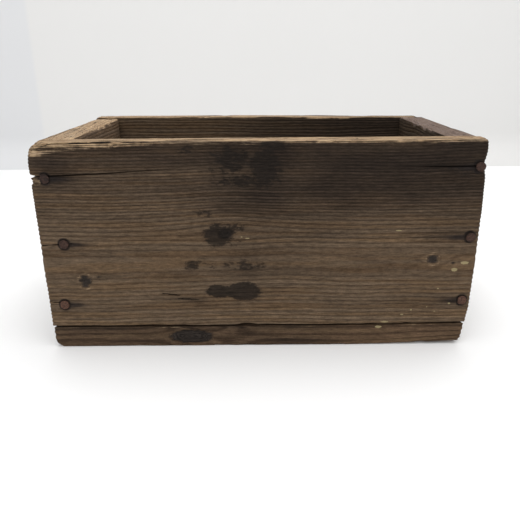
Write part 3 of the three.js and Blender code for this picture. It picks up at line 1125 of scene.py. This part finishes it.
def studio():
    """White paper on the floor, and pale paper that stands up behind the crate, whose darker tone is
    partly painted shade.
    """
    wall_y, bend = 1.02, 0.09
    curve = [(step / 12 * math.pi / 2) for step in range(13)]
    rise = [(wall_y - bend + bend * math.sin(a), bend - bend * math.cos(a)) for a in curve]
    sheet("studio_floor", [(-4.0, 0.0), rise[0]], floor_paper())
    sheet("studio_wall", [*rise, (wall_y, 3.0)], shaded_wall_paper())


def area_light(name, place, target, size, power):
    data = bpy.data.lights.new(name, "AREA")
    data.shape = "RECTANGLE"
    data.size, data.size_y = size
    data.energy = power
    lamp = new_object(name, data)
    lamp.location = place
    lamp.rotation_euler = (Vector(target) - Vector(place)).to_track_quat("-Z", "Y").to_euler()


def studio_light():
    world = bpy.data.worlds.new("studio")
    world.use_nodes = True
    background = world.node_tree.nodes["Background"]
    background.inputs["Color"].default_value = (1.0, 1.0, 1.0, 1)
    background.inputs["Strength"].default_value = 0.55
    bpy.context.scene.world = world
    bpy.context.scene.view_settings.view_transform = "Standard"
    area_light("overhead", (0.15, -0.1, 2.0), (0, -0.1, 0.1), (2.4, 2.2), 34)
    area_light("front_fill", (-0.5, -2.4, 1.7), (0, 0, 0.1), (2.2, 1.6), 20)


CAMERA_PLACE = (-0.2, -671.0, 301.4)  # in mm
CAMERA_ANGLES = (0.07, 20.33, -0.404)  # yaw, pitch and roll in degrees
CAMERA_LENS = 37.41  # focal length in mm on a 36 mm sensor


def camera():
    """The viewpoint: in front of the crate and above it, looking down a little."""
    place = Vector(CAMERA_PLACE) * MM
    yaw, pitch, roll = (math.radians(angle) for angle in CAMERA_ANGLES)
    ahead = math.cos(pitch)
    forward = Vector((math.sin(yaw) * ahead, math.cos(yaw) * ahead, -math.sin(pitch)))
    level = Vector((math.cos(yaw), -math.sin(yaw), 0))
    upward = level.cross(forward)
    right = level * math.cos(roll) + upward * math.sin(roll)
    up = upward * math.cos(roll) - level * math.sin(roll)
    data = bpy.data.cameras.new("camera")
    data.sensor_width = 36
    data.lens = CAMERA_LENS
    body = new_object("camera", data)
    turn = Matrix((right, up, -forward)).transposed()
    body.matrix_world = Matrix.Translation(place) @ turn.to_4x4()
    bpy.context.scene.camera = body


# -------- the crate

FRONT_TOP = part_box("front_board")[1].z / MM
BACK_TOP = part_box("back_board")[1].z / MM
END_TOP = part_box("left_end_board")[1].z / MM
HEAD_RADIUS = 5.15
SHANK_SHARE = 0.476  # a nail's shank radius and head thickness, as shares of its head's radius
HEAD_SHARE = 0.35
BOTTOM_NAILS = sorted(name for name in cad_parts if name.startswith("bottom_nail"))
SIDE_NAILS = sorted(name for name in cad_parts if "_nail_" in name and name not in BOTTOM_NAILS)

camera()
studio()
studio_light()

front_board(wood("wood_front", X, wood_look(flecks=FRONT_PAINT_AND_GLINTS)))
back_board(wood("wood_back", X, wood_look()))
# The left end's ring colours are paler than the other boards' and its inner face gets less than no soot:
# painted light on that inner face. The soot of 0.55 outside darkens its outer face back.
end_board(
    "left_end_board", -1, 37, wood("wood_left_end", Y, wood_look(
        contrast=0.08, valley=(0.145, 0.097, 0.064), ridge=(0.26, 0.182, 0.12), pale=(0.43, 0.30, 0.18),
        warm_valley=(0.15, 0.093, 0.055), warm_ridge=(0.27, 0.178, 0.105))),
    soot_and_shade=(0.55, -0.1), soft_top=1.0, chipped=[(9, 11, 2.2), (33, 9, 2.8), (27, 6, 2.0), (60, 8, 1.4)],
    dips=[(20, 30, 0.5), (-62, 26, 0.3)],
)
# The right end's inner face is darker, with soot of 0.6 inside: partly grime, partly painted shade
# inside the crate.
end_board(
    "right_end_board", 1, 52,
    wood("wood_right_end", Y, wood_look(
        contrast=0.2, pale=(0.165, 0.120, 0.096), pale_light=(0.26, 0.205, 0.175),
        pale_grey=(0.155, 0.122, 0.113), pale_dark=(0.08, 0.047, 0.033))),
    soot_and_shade=(0.3, 0.6), soft_top=0.25, chipped=[(-10, 12, 2.4), (-34, 8, 1.8), (34, 10, 1.9)],
    dips=[(-18, 14, 0.4)],
)
bottom_look = wood_look(
    contrast=0.2, valley=(0.062, 0.038, 0.023), ridge=(0.205, 0.130, 0.077),
    flecks=[(131.5, 21.8, 3.8, 1.4)],
)
for number, (row, end_cut, foot_round) in enumerate([
    ("front", 1.6, (8, 2)), ("middle", 0.4, (3, 3)), ("back", 0.8, (4, 6)),
]):
    bottom_board(row, 61 + number, wood("wood_bottom_" + row, X, bottom_look), end_cut, foot_round)

iron = rusty_iron()
for number, name in enumerate([*SIDE_NAILS, *BOTTOM_NAILS]):
    make_nail(name, 200 + 7 * number, iron)
